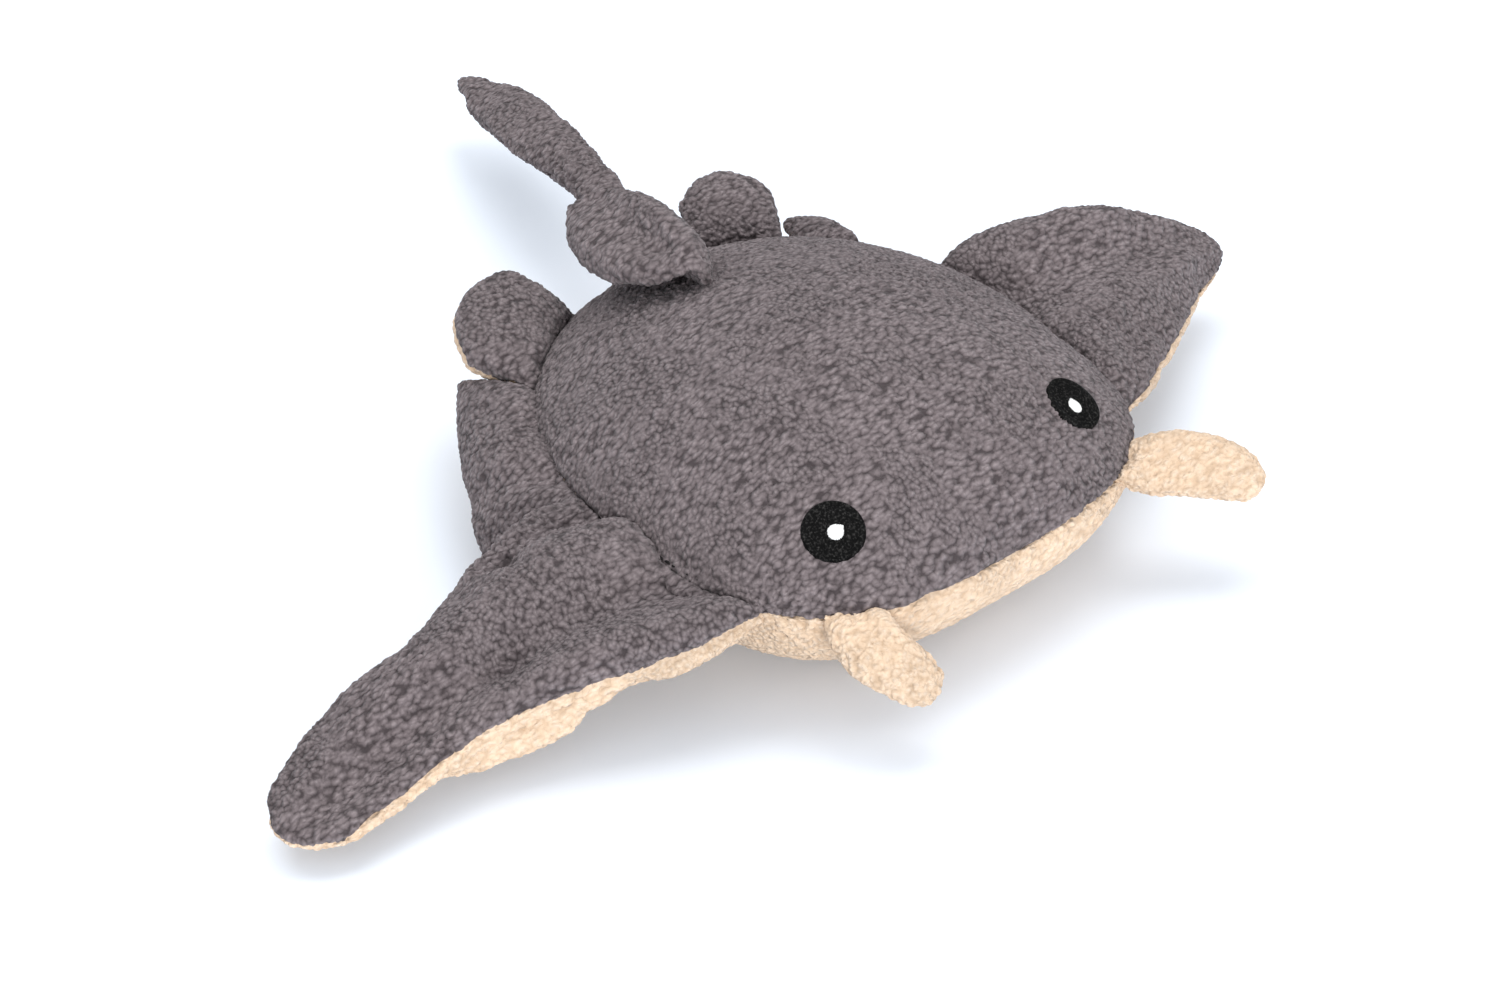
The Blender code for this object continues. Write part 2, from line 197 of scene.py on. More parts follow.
BACK_FIN = dict(
    above=(5, 4.5), below=(4, 4),
    lead=((-13, 50, 78), (-23, 59, 74)), trail=((-3, 105, 77), (-14, 117, 71)),
    bow=(-12, 2, -7), ridge=7, seam=((0.0,), 0.0, 0.0),
    creases=((0.66, -0.5, 0.70, 0.75, 5, 5.5, 1), (0.90, -0.6, 0.92, 0.4, 5, -3.0, 1),
             (0.3, -0.5, 0.3, 0.7, 6, -2.0, 1)),
)


# ---- Surfaces, over arrays of parameters ----------------------------------------------------
def oval_reach(x, y):
    """Distance from the centre to the seam in the plan direction (x, y) of length 1."""
    power = np.where(y < 0, NOSE_SQUARENESS, REAR_SQUARENESS)
    length = np.where(y < 0, BODY_NOSE, BODY_REAR)
    return (np.abs(x / BODY_HALF_WIDTH) ** power + np.abs(y / length) ** power) ** (-1 / power)


def seam_point(bearing, side, out):
    """Points on the seam's oval at bearings from the nose, moved outwards by out."""
    turn = np.radians(np.asarray(bearing, float))
    x, y = side * np.sin(turn), -np.cos(turn)
    reach = oval_reach(x, y) + out
    return np.stack([x * reach, y * reach, np.full_like(x, SEAM_HEIGHT)], axis=-1)


def body_points(x, y, rise, profile):
    """Points of the body over the unit disc; rise is negative on the belly."""
    radius = np.minimum(np.hypot(x, y), 1.0)
    safe = np.maximum(radius, 1e-9)
    lift = (1 - radius) * math.pi / 2
    narrow = np.maximum(np.cos(lift), 0) ** profile[0] + SEAM_PUFF * np.sin(2 * lift)
    reach = np.where(radius < 1e-6, 0, oval_reach(x / safe + 1e-12, y / safe) * narrow)
    height = SEAM_HEIGHT + rise * np.maximum(np.sin(lift), 0) ** profile[1]
    return np.stack([x / safe * reach, y / safe * reach, np.maximum(height, 0)], axis=-1)


def spline(points, t):
    """Points at t, from 0 to 1, of a Catmull-Rom spline through the points."""
    points = np.asarray(points, float)
    spans = len(points) - 1
    index = np.clip((t * spans).astype(int), 0, spans - 1)
    s = (t * spans - index)[..., None]
    before, start = points[np.maximum(index - 1, 0)], points[index]
    end, after = points[index + 1], points[np.minimum(index + 2, spans)]
    return 0.5 * (
        2 * start + (end - before) * s
        + (2 * before - 5 * start + 4 * end - after) * s ** 2
        + (3 * start - before - 3 * end + after) * s ** 3
    )


def fin_middle(fin, root):
    """Function of (u, v) giving the middle surface: u from root to tip, v from -1 to 1 across."""
    lead = np.vstack([root(-1.0)[None], np.array(fin["lead"]) * MM])
    trail = np.vstack([root(1.0)[None], np.array(fin["trail"]) * MM])
    bow = np.array(fin["bow"]) * MM

    def middle(u, v):
        inside = np.maximum(u, 0)
        v = v * (1 - fin.get("rounding", 0.0) * inside ** 5)
        share = ((1 + v) / 2)[..., None]
        point = spline(lead, u) * (1 - share) + spline(trail, u) * share
        straight = root(-1.0) * (1 - share) + root(1.0) * share
        point = point + (root(v) - straight) * ((1 - u) ** 3)[..., None]
        point = point + bow * ((1 - v * v) * inside ** 4)[..., None]
        point[..., 2] += fin["ridge"] * MM * (1 - v * v) * np.sin(math.pi * inside)
        return point
    return middle


def across_shape(v):
    return np.sqrt(np.maximum(0, 1 - v ** 4))


def along_shape(u):
    return np.sqrt(np.maximum(0, (1 - (1 - u) ** 6) * (1 - u ** 6)))


def normals_of(surface, u, v):
    """Unit normals of a surface from its differences."""
    step = 1e-3
    u, v = np.clip(u, step, 1 - step), np.clip(v, -1 + step, 1 - step)
    cross = np.cross(surface(u + step, v) - surface(u - step, v),
                     surface(u, v + step) - surface(u, v - step))
    return cross / np.maximum(np.linalg.norm(cross, axis=-1, keepdims=True), 1e-12)


def even_steps(length, height, shape, low, high):
    """Parameters from low to high, about a cell apart along the curve of a profile."""
    t = np.linspace(low, high, 4001)
    run = np.hypot(np.diff(t) / (high - low) * length, np.diff(height * shape(t)))
    run = np.concatenate([[0], np.cumsum(run)])
    count = max(6, int(round(run[-1] / FIN_CELL)))
    return np.interp(np.linspace(0, run[-1], count + 1), run, t)


# ---- Pillows: two sheets that share their rim -----------------------------------------------
def quads(n):
    """Rows of four vertex numbers, one for each cell of a grid of vertex numbers."""
    return np.stack([n[:-1, :-1], n[1:, :-1], n[1:, 1:], n[:-1, 1:]], axis=-1).reshape(-1, 4)


def pillow(name, upper, lower, a, b):
    """Closed quad mesh of two sheets of points on the same grid, as a dict of arrays.

    face is 1 on the upper sheet, -1 on the lower one and 0 on the rim they share.
    """
    rows, columns = upper.shape[:2]
    number = np.arange(rows * columns).reshape(rows, columns)
    rim = np.ones((rows, columns), bool)
    rim[1:-1, 1:-1] = False
    under = number.copy()
    under[~rim] = rows * columns + np.arange((~rim).sum())
    faces_up, faces_down = quads(number), quads(under)[:, ::-1]
    points = np.vstack([upper.reshape(-1, 3), lower[~rim]])
    face = np.concatenate([np.where(rim, 0, 1).ravel(), np.full((~rim).sum(), -1)]).astype(float)
    faces = np.vstack([faces_up, faces_down])
    corner = points[faces]
    volume = np.einsum("ij,ij->i", corner[:, 0], np.cross(corner[:, 1], corner[:, 2])).sum()
    volume += np.einsum("ij,ij->i", corner[:, 0], np.cross(corner[:, 2], corner[:, 3])).sum()
    if volume < 0:
        faces = faces[:, ::-1]
    panel = np.concatenate([np.zeros(len(faces_up), int), np.ones(len(faces_down), int)])
    made = dict(name=name, points=points, faces=faces, panel=panel, face=face)
    i, j = np.meshgrid(np.arange(rows), np.arange(columns), indexing="ij")
    grids = {"u": a, "v": b, "to_lead": j * FIN_CELL, "to_trail": (columns - 1 - j) * FIN_CELL,
             "to_tip": (rows - 1 - i) * FIN_CELL}
    for key, grid in grids.items():
        made[key] = np.concatenate([grid.ravel(), grid[~rim]]).astype(float)
    return made


def body_pillow():
    """The body over the unit disc, with its rings spaced evenly along the back's section."""
    square = np.linspace(-1, 1, BODY_CELLS + 1)
    sx, sy = np.meshgrid(square, square, indexing="ij")
    x, y = sx * np.sqrt(1 - sy * sy / 2), sy * np.sqrt(1 - sx * sx / 2)
    radius = np.hypot(x, y)

    def spread(rise, profile):
        r = np.linspace(0, 1, 2001)
        line = body_points(r * 0.0, -r, rise, profile)
        run = np.concatenate([[0], np.cumsum(np.linalg.norm(np.diff(line, axis=0), axis=1))])
        even = np.interp(radius * run[-1], run, r)
        scale = np.where(radius > 1e-9, even / np.maximum(radius, 1e-9), 1)
        return body_points(x * scale, y * scale, rise, profile)

    upper = spread(BACK_RISE, BACK_PROFILE)
    lower = spread(-BELLY_DROP, BELLY_PROFILE)
    return pillow("body", upper, lower, x, y)


def fin_pillow(name, fin, root):
    """A fin's pillow, its grid spaced evenly over its bulging faces."""
    middle = fin_middle(fin, root)

    def at(u, v):
        return middle(np.array([u]), np.array([v]))[0]

    length = np.linalg.norm(at(1.0, 0.0) - at(0.0, 0.0))
    width = np.linalg.norm(at(0.3, 1.0) - at(0.3, -1.0))
    height = fin["above"][0] * MM
    u = even_steps(length, height, along_shape, 0.0, 1.0)
    v = even_steps(width, height, across_shape, -1.0, 1.0)
    u, v = np.meshgrid(u, v, indexing="ij")
    normal = normals_of(middle, u, v)
    centre = normals_of(middle, np.array([0.5]), np.array([0.0]))[0]
    normal = normal * math.copysign(1, centre[2])
    full = across_shape(v) * along_shape(u) * MM * PLUMP
    sheets = []
    for way, (at_root, at_tip) in ((1, fin["above"]), (-1, fin["below"])):
        stand = way * full * (at_root + (at_tip - at_root) * u)
        sheets.append(middle(u, v) + normal * stand[..., None])
    made = pillow(name, sheets[0], sheets[1], u, v)
    made["length"], made["width"], made["up"] = length, width, centre * math.copysign(1, centre[2])
    return made


def back_height(x, y):
    """Height of the back over one point in plan."""
    goal = math.hypot(x, y)
    low, high = 0.0, 1.0
    for _ in range(30):
        half = (low + high) / 2
        point = body_points(np.array([x / goal * half]), np.array([y / goal * half]),
                            BACK_RISE, BACK_PROFILE)[0]
        low, high = (half, high) if math.hypot(point[0], point[1]) < goal else (low, half)
    return point[2]


def seam_root(fin):
    """Function of v giving a fin's root, sewn into the body's seam."""
    first, last = fin["bearings"]
    return lambda v: seam_point(first + (last - first) * (1 + np.asarray(v)) / 2, fin["side"],
                                -SEWN_IN)


def back_fin_root(v):
    """Root of the back fin, sewn into the top of the back."""
    flat = np.atleast_1d(np.asarray(v, float)).ravel()
    start, end = np.array(BACK_FIN_ROOT)
    share = ((1 + flat) / 2)[:, None]
    plan = start * (1 - share) + end * share
    made = np.array([(x, y, back_height(x, y) - SEWN_IN) for x, y in plan])
    return made.reshape(*np.shape(v), 3)


# ---- Cloth ----------------------------------------------------------------------------------
def inflate(pillows):
    """Inflate every pillow in one cloth simulation and keep a capped share of its swelling."""
    for p in pillows:
        slack = BODY_SLACK if p["name"] == "body" else FIN_SLACK
        slack = slack * np.abs(p["face"])[:, None]
        p["points"] = p["points"] - vertex_normals(p["points"], p["faces"]) * slack
        p["points"][:, 2] = np.maximum(p["points"][:, 2], 0)
    counts = [len(p["points"]) for p in pillows]
    starts = np.concatenate([[0], np.cumsum(counts)])
    faces = np.vstack([p["faces"] + s for p, s in zip(pillows, starts)])
    data = bpy.data.meshes.new("cloth")
    data.from_pydata(np.vstack([p["points"] for p in pillows]).tolist(), [], faces.tolist())
    cloth = bpy.data.objects.new("cloth", data)
    bpy.context.scene.collection.objects.link(cloth)
    pinned = cloth.vertex_groups.new(name="pinned")
    for p, start in zip(pillows, starts):
        is_body = p["name"] == "body"
        at_seam, away = BODY_HOLD if is_body else FIN_HOLD
        hold = np.where(p["face"] == 0, at_seam, away)
        fixed = p["points"][:, 2] < 1 * MM if is_body else p["u"] < 0.02
        hold[fixed] = 1.0
        for i, h in enumerate(hold):
            pinned.add([int(start + i)], float(h), "REPLACE")
    modifier = cloth.modifiers.new("cloth", "CLOTH")
    modifier.settings.quality = 5
    modifier.settings.vertex_group_mass = "pinned"
    modifier.settings.use_pressure = True
    modifier.settings.uniform_pressure_force = CLOTH_PRESSURE
    modifier.settings.shrink_min = -CLOTH_GROWTH
    modifier.settings.bending_stiffness = 0.3
    modifier.settings.effector_weights.gravity = 0
    modifier.point_cache.frame_start, modifier.point_cache.frame_end = 1, CLOTH_FRAMES
    for step in range(1, CLOTH_FRAMES + 1):
        bpy.context.scene.frame_set(step)
    shaped = cloth.evaluated_get(bpy.context.evaluated_depsgraph_get()).data
    points = np.empty(len(shaped.vertices) * 3)
    shaped.vertices.foreach_get("co", points)
    points = points.reshape(-1, 3)
    bpy.context.scene.frame_set(1)
    bpy.data.objects.remove(cloth)
    for p, start, count in zip(pillows, starts, counts):
        move = points[start:start + count] - p["points"]
        far = np.maximum(np.linalg.norm(move, axis=1, keepdims=True), 1e-9)
        p["points"] = p["points"] + move / far * MOST_SWELLING * np.tanh(far / MOST_SWELLING)
        p["points"][:, 2] = np.maximum(p["points"][:, 2], 0)


def place_seam(p, seam):
    """Signed distance from the seam, above it positive, and the panel that each face belongs to."""
    if seam is None:
        p["seam"] = p["face"] * BODY_RIM_CELL
        tucked = np.where(p["points"][:, 1] > TUCK_START, -TUCK, 0.0)
        over = (p["face"] - tucked)[p["faces"]].mean(axis=1) > 0
        p["panel"] = np.where(over, 0, 1)
        return
    lead = np.interp(p["u"], np.linspace(0, 1, len(seam[0])), seam[0])
    shifts = {"to_lead": lead, "to_trail": seam[1], "to_tip": seam[2]}
    gaps = [p[key] - shift * MM for key, shift in shifts.items()]
    under = [-shift * MM - p[key] for key, shift in shifts.items()]
    inside = np.where(p["face"] >= 0, np.min(gaps, axis=0), np.max(under, axis=0))
    p["seam"] = inside
    p["panel"] = np.where(inside[p["faces"]].mean(axis=1) > 0, 0, 1)


KEPT = ("u", "v", "face", "to_lead", "to_trail", "to_tip")


def subdivide(p):
    """Replace a pillow's arrays by those of its smooth subdivision."""
    data = bpy.data.meshes.new(p["name"])
    data.from_pydata(p["points"].tolist(), [], p["faces"].tolist())
    for key in KEPT:
        data.attributes.new(key, "FLOAT", "POINT").data.foreach_set("value", p[key])
    data.polygons.foreach_set("material_index", p["panel"].astype(np.int32))
    holder = bpy.data.objects.new(p["name"] + "_holder", data)
    bpy.context.scene.collection.objects.link(holder)
    modifier = holder.modifiers.new("smooth", "SUBSURF")
    modifier.levels = modifier.render_levels = SUBDIVISIONS
    fine = holder.evaluated_get(bpy.context.evaluated_depsgraph_get()).data
    total = len(fine.vertices)
    p["points"] = read(fine.vertices, "co", total * 3).reshape(-1, 3)
    for key in KEPT:
        p[key] = read(fine.attributes[key].data, "value", total)
    corners = np.empty(len(fine.loops), np.int32)
    fine.loops.foreach_get("vertex_index", corners)
    p["faces"] = corners.reshape(-1, 4)
    panel = np.empty(len(fine.polygons), np.int32)
    fine.polygons.foreach_get("material_index", panel)
    p["panel"] = panel
    bpy.data.objects.remove(holder)


def read(items, key, size):
    """One attribute of a mesh's elements as an array of floats."""
    values = np.empty(size)
    items.foreach_get(key, values)
    return values


def vertex_normals(points, faces):
    """Unit normals at the vertices of a quad mesh, weighted by the faces' areas."""
    corner = points[faces]
    face = np.cross(corner[:, 2] - corner[:, 0], corner[:, 3] - corner[:, 1])
    normal = np.zeros_like(points)
    for k in range(4):
        for axis in range(3):
            normal[:, axis] += np.bincount(faces[:, k], face[:, axis], len(points))
    return normal / np.maximum(np.linalg.norm(normal, axis=1, keepdims=True), 1e-15)


# ---- Noise ----------------------------------------------------------------------------------
def random_of(cell, seed, count):
    """Columns of random numbers from 0 to 1 for rows of whole numbers, the same every run."""
    mask = 0xFFFFFFFF
    n = (cell[:, 0] * 73856093) ^ (cell[:, 1] * 19349663) ^ (cell[:, 2] * 83492791)
    n = (n ^ (seed * 40503)) & mask
    columns = []
    for k in range(count):
        n = ((n ^ (n >> 16)) * 0x45D9F3B + k * 7919) & mask
        n = ((n ^ (n >> 15)) * 0x2C1B3C6D) & mask
        n = n ^ (n >> 13)
        columns.append((n & 0xFFFFFF) / 0xFFFFFF)
    return np.stack(columns, axis=1)


def soft_noise(points, size, seed):
    """Smooth noise from -1 to 1 with features of one size."""
    q = points / size
    base = np.floor(q).astype(np.int64)
    s = q - base
    s = s * s * (3 - 2 * s)
    total = np.zeros(len(q))
    for corner in np.ndindex(2, 2, 2):
        weight = np.prod(np.where(np.array(corner) == 1, s, 1 - s), axis=1)
        total += weight * random_of(base + np.array(corner), seed, 1)[:, 0]
    return total * 2 - 1


def curls(points, size, seed):
    """Distance to the nearest curl's middle, how far inside its own edge, and its own number."""
    q = points / size
    base = np.floor(q).astype(np.int64)
    best, second = np.full(len(q), 9.0), np.full(len(q), 9.0)
    chance = np.zeros(len(q))
    for near in np.ndindex(3, 3, 3):
        cell = base + np.array(near) - 1
        draw = random_of(cell, seed, 4)
        away = np.linalg.norm(q - cell - 0.1 - 0.8 * draw[:, :3], axis=1)
        closer = away < best
        second = np.where(closer, best, np.minimum(second, away))
        chance = np.where(closer, draw[:, 3], chance)
        best = np.where(closer, away, best)
    return best, second - best, chance


def pile_of(points, seed):
    """Height of the fleece pile, from 0 in the crevices to 1, and a number for each curl."""
    warp = np.stack([soft_noise(points, 1.5 * MM, seed + k) for k in range(3)], axis=1)
    bent = points + warp * 0.55 * MM
    best, inside, chance = curls(bent, PILL, seed)
    combed, within, _ = curls(bent * COMB, PILL, seed + 5)
    share = np.clip(0.5 + 1.6 * soft_noise(points, 38 * MM, 71), 0, 1)
    best, inside = best + (combed - best) * share, inside + (within - inside) * share
    edge = np.clip(inside / 0.45, 0, 1)
    dome = np.clip(1 - (best / 0.8) ** 2, 0, 1)
    height = 0.55 * np.sqrt(1 - (1 - edge) ** 2) + 0.45 * dome
    return height * (0.65 + 0.35 * chance), chance


# ---- Detail on the fine meshes --------------------------------------------------------------
def crease(p, fin):
    """Press a fin's creases and raise its ridges."""
    normal = vertex_normals(p["points"], p["faces"])
    flat = np.stack([p["u"] * p["length"], p["v"] * p["width"] / 2], axis=1)
    for u0, v0, u1, v1, width, depth, faces in fin["creases"]:
        a = np.array([u0 * p["length"], v0 * p["width"] / 2])
        b = np.array([u1 * p["length"], v1 * p["width"] / 2])
        t = np.clip(((flat - a) @ (b - a)) / ((b - a) @ (b - a)), 0, 1)
        away = np.linalg.norm(flat - a - t[:, None] * (b - a), axis=1) / (width * MM)
        press = depth * MM * np.exp(-away ** 2) * np.sqrt(np.maximum(0, 1 - 0.6 * t))
        if faces == 0:
            p["points"] -= p["up"] * press[:, None]
        else:
            here = np.clip(p["face"] * faces, 0, 1)
            p["points"] -= normal * (press * here)[:, None]


def pucker(p, depth, wave):
    """Draw the seam in, let the cloth beside it gather, and make the rest gently uneven."""
    normal = vertex_normals(p["points"], p["faces"])
    away = np.clip(np.abs(p["seam"]) / GATHERED_WIDTH, 0, 1)
    gather = soft_noise(p["points"], 7 * MM, 91) + 0.5 * soft_noise(p["points"], 4 * MM, 92)
    move = -depth * np.exp(-(away / 0.25) ** 2) + wave * gather * (1 - away) ** 2
    broad = soft_noise(p["points"], 26 * MM, 93) * 0.7 * MM
    p["points"] += normal * (move + broad * away)[:, None]


def grow_pile(p, seed):
    """Raise the curls of the pile, and keep their heights and numbers for the material, which
    paints shade in the crevices and a highlight on the tops from the heights.
    """
    normal = vertex_normals(p["points"], p["faces"])
    height, chance = pile_of(p["points"], seed)
    strength = PILE * (1.0 + 0.35 * soft_noise(p["points"], 22 * MM, 55))
    p["rest"] = p["points"].copy()
    p["points"] = p["points"] + normal * (strength * (height - 0.5))[:, None]
    p["points"][:, 2] = np.maximum(p["points"][:, 2], 0)
    p["pile"], p["curl"] = height, chance


def piece_from(p, panel, name, material):
    """One panel of a finished pillow, as its own object."""
    faces = p["faces"][p["panel"] == panel]
    used, index = np.unique(faces, return_inverse=True)
    data = bpy.data.meshes.new(name)
    data.from_pydata(p["points"][used].tolist(), [], index.reshape(-1, 4).tolist())
    for key in ("pile", "curl"):
        data.attributes.new(key, "FLOAT", "POINT").data.foreach_set("value", p[key][used])
    rest = data.attributes.new("rest", "FLOAT_VECTOR", "POINT")
    rest.data.foreach_set("vector", p["rest"][used].ravel())
    data.shade_smooth()
    data.materials.append(material)
    piece = bpy.data.objects.new(name, data)
    bpy.context.scene.collection.objects.link(piece)
    return piece


# ---- Materials ------------------------------------------------------------------------------
def shader_tree(name):
    """New material, its node tree and its main shader."""
    material = bpy.data.materials.new(name)
    material.use_nodes = True
    tree = material.node_tree
    return material, tree, tree.nodes["Principled BSDF"]


def node(tree, kind, **values):
    """New node; each value sets the input of that name, or else the property."""
    made = tree.nodes.new(kind)
    for key, value in values.items():
        if key in made.inputs:
            made.inputs[key].default_value = value
        else:
            setattr(made, key, value)
    return made


def math_node(tree, operation, first, second, third=None):
    """Math node whose inputs are sockets or constants; returns its output."""
    made = node(tree, "ShaderNodeMath", operation=operation)
    for place, value in enumerate((first, second, third)):
        if isinstance(value, (int, float)):
            made.inputs[place].default_value = value
        elif value is not None:
            tree.links.new(value, made.inputs[place])
    return made.outputs[0]


def ramp_between(tree, value, low, high, to_low=0.0, to_high=1.0):
    """Map a value from one range to another with soft ends; returns the output."""
    made = node(tree, "ShaderNodeMapRange", interpolation_type="SMOOTHSTEP")
    for key, number in zip(("From Min", "From Max", "To Min", "To Max"),
                           (low, high, to_low, to_high)):
        made.inputs[key].default_value = number
    tree.links.new(value, made.inputs["Value"])
    return made.outputs[0]


def pill_height(tree, place, stretch):
    """Height of the little curls, 0 in the crevices and near 1 on top."""
    scaled = node(tree, "ShaderNodeVectorMath", operation="MULTIPLY")
    tree.links.new(place, scaled.inputs[0])
    scaled.inputs[1].default_value = stretch
    near = node(tree, "ShaderNodeTexVoronoi", Scale=CURLS_PER_METRE, feature="SMOOTH_F1",
                Smoothness=0.16)
    tree.links.new(scaled.outputs["Vector"], near.inputs["Vector"])
    return math_node(tree, "MULTIPLY_ADD", near.outputs["Distance"], -1.25, 1.05)


def fleece(name, painted_crevice_shade, body, tip, sheen):
    """Curly fleece, combed one way in patches, with painted shade between the curls and a painted
    highlight on their tips.
    """
    material, tree, shader = shader_tree(name)
    link = tree.links.new
    pile = node(tree, "ShaderNodeAttribute", attribute_name="pile").outputs["Fac"]
    curl = node(tree, "ShaderNodeAttribute", attribute_name="curl").outputs["Fac"]
    rest = node(tree, "ShaderNodeAttribute", attribute_name="rest").outputs["Vector"]
    fine = node(tree, "ShaderNodeTexNoise", Scale=1900.0, Detail=3.0, Roughness=0.7)
    broad = node(tree, "ShaderNodeTexNoise", Scale=30.0, Detail=2.0, Roughness=0.5)
    bend = node(tree, "ShaderNodeTexNoise", Scale=330.0, Detail=1.0)
    for texture in (fine, broad, bend):
        link(rest, texture.inputs["Vector"])
    wander = node(tree, "ShaderNodeVectorMath", operation="SCALE", Scale=1.7 * MM)
    link(bend.outputs["Color"], wander.inputs[0])
    place = node(tree, "ShaderNodeVectorMath", operation="ADD")
    link(rest, place.inputs[0])
    link(wander.outputs["Vector"], place.inputs[1])
    loose = pill_height(tree, place.outputs["Vector"], LOOSE_STRETCH)
    combed = pill_height(tree, place.outputs["Vector"], COMBED_STRETCH)
    lay = ramp_between(tree, broad.outputs["Fac"], 0.44, 0.52)
    difference = math_node(tree, "SUBTRACT", combed, loose)
    curls_up = math_node(tree, "MULTIPLY_ADD", difference, lay, loose)
    toned = math_node(tree, "MULTIPLY", curls_up, 0.72)
    with_pile = math_node(tree, "MULTIPLY_ADD", pile, 0.20, toned)
    lifted = math_node(tree, "MULTIPLY_ADD", fine.outputs["Fac"], 0.26, with_pile)
    # The ramp paints shade into the crevices between the curls with its lowest colour and a
    # highlight on their tops with its highest.
    ramp = node(tree, "ShaderNodeValToRGB")
    ramp.color_ramp.elements[0].position = 0.26
    ramp.color_ramp.elements[0].color = (*painted_crevice_shade, 1)
    ramp.color_ramp.elements[1].position = 0.92
    ramp.color_ramp.elements[1].color = (*tip, 1)
    ramp.color_ramp.elements.new(0.58).color = (*body, 1)
    link(lifted, ramp.inputs["Fac"])
    shade = ramp_between(tree, curl, 0.0, 1.0, 0.95, 1.05)
    patch = ramp_between(tree, broad.outputs["Fac"], 0.3, 0.7, 0.94, 1.06)
    tint = node(tree, "ShaderNodeVectorMath", operation="SCALE")
    link(ramp.outputs["Color"], tint.inputs[0])
    link(math_node(tree, "MULTIPLY", shade, patch), tint.inputs["Scale"])
    link(tint.outputs["Vector"], shader.inputs["Base Color"])
    bump = node(tree, "ShaderNodeBump", Strength=1.0, Distance=0.95 * MM)
    fuzz = math_node(tree, "MULTIPLY_ADD", fine.outputs["Fac"], 0.25, curls_up)
    link(fuzz, bump.inputs["Height"])
    link(bump.outputs["Normal"], shader.inputs["Normal"])
    shader.inputs["Roughness"].default_value = 0.95
    shader.inputs["Specular IOR Level"].default_value = 0.15
    shader.inputs["Sheen Weight"].default_value = sheen
    shader.inputs["Sheen Roughness"].default_value = 0.5
    return material


def thread(name, dark, painted_glint, roughness, scale):
    """Sewing or embroidery thread: fine twisted fibres with a soft shine, and painted glints
    flecked over them.
    """
    material, tree, shader = shader_tree(name)
    link = tree.links.new
    place = node(tree, "ShaderNodeTexCoord")
    noise = node(tree, "ShaderNodeTexNoise", Scale=scale, Detail=3.0)
    link(place.outputs["Object"], noise.inputs["Vector"])
    ramp = node(tree, "ShaderNodeValToRGB")
    ramp.color_ramp.elements[0].position = 0.50
    ramp.color_ramp.elements[0].color = (*dark, 1)
    # The second colour, flecked in by noise, is painted glints on the fibres.
    ramp.color_ramp.elements[1].position = 0.80
    ramp.color_ramp.elements[1].color = (*painted_glint, 1)
    link(noise.outputs["Fac"], ramp.inputs["Fac"])
    link(ramp.outputs["Color"], shader.inputs["Base Color"])
    bump = node(tree, "ShaderNodeBump", Strength=0.4, Distance=0.08 * MM)
    link(noise.outputs["Fac"], bump.inputs["Height"])
    link(bump.outputs["Normal"], shader.inputs["Normal"])
    shader.inputs["Roughness"].default_value = roughness
    shader.inputs["Specular IOR Level"].default_value = 0.09
    return material


# In each fleece the first colour is painted shade for the crevices, the second the fleece's own
# colour and the third a painted highlight on the curls' tops.
grey_fleece = fleece("grey_fleece", (0.060, 0.048, 0.050), (0.160, 0.132, 0.136),
                     (0.250, 0.211, 0.216), 0.12)
cream_fleece = fleece("cream_fleece", (0.60, 0.435, 0.30), (0.72, 0.545, 0.395),
                      (0.75, 0.60, 0.465), 0.10)
# Each thread's second colour is painted glints on its fibres.
black_thread = thread("black_thread", (0.0008, 0.0008, 0.0008), (0.050, 0.048, 0.046), 0.6,
                      1300.0)
white_thread = thread("white_thread", (0.72, 0.72, 0.71), (0.92, 0.92, 0.91), 0.5, 2400.0)
dark_thread = thread("dark_thread", (0.01, 0.009, 0.009), (0.035, 0.03, 0.03), 0.6, 1800.0)


# ---- Build the pillows ----------------------------------------------------------------------
roots = {name: seam_root(fin) for name, fin in FINS.items()}
shapes = dict(FINS, back_fin=BACK_FIN)
roots["back_fin"] = back_fin_root
pillows = [body_pillow()]
pillows += [fin_pillow(name, fin, roots[name]) for name, fin in shapes.items()]
inflate(pillows)
for number, p in enumerate(pillows):
    subdivide(p)
    place_seam(p, shapes[p["name"]]["seam"] if p["name"] in shapes else None)
    if p["name"] == "body":
        pucker(p, *BODY_PUCKER)
        top = p["faces"][p["panel"] == 0]
        back_tree = BVHTree.FromPolygons(p["points"].tolist(), top.tolist())
    else:
        crease(p, shapes[p["name"]])
        pucker(p, *FIN_PUCKER)
    grow_pile(p, 100 + 10 * number)

body = pillows[0]
pieces = []
back = piece_from(body, 0, "back_fleece", grey_fleece)
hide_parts("back_panel", "body_stuffing")
belly = piece_from(body, 1, "belly_fleece", cream_fleece)
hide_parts("belly_panel")
for piece in (back, belly):
    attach(piece, "torso")


def bend_line(name):
    """Start and end of a short stretch out from a fin's root towards its tip."""
    root = roots[name]
    middle = fin_middle(shapes[name], root)
    start = (root(-1.0) + root(1.0)) / 2
    tip = middle(np.array([1.0]), np.array([0.0]))[0]
    line = root(1.0) - root(-1.0)
    line /= np.linalg.norm(line)
    out = tip - start
    out -= line * (out @ line)
    out /= np.linalg.norm(out)
    return start + out * BEND_START, start + out * BEND_END.get(name, SHORT_BEND_END)


for p in pillows[1:]:
    name = p["name"]
    words = ("left_panel", "right_panel") if name == "back_fin" else ("top", "belly")
    start, end = bend_line(name)
    for panel, word in enumerate(words):
        cream = "cephalic" in name or (word == "belly" and name != "tail")
        material, slot = (cream_fleece, "cream_fleece") if cream else (grey_fleece, "grey_fleece")
        piece = piece_from(p, panel, f"{name}_{word}_fleece", material)
        nodes = [f"{name}_{word}"] + ([f"{name}_stuffing"] if panel == 0 else [])
        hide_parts(*nodes)
        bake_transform(piece)


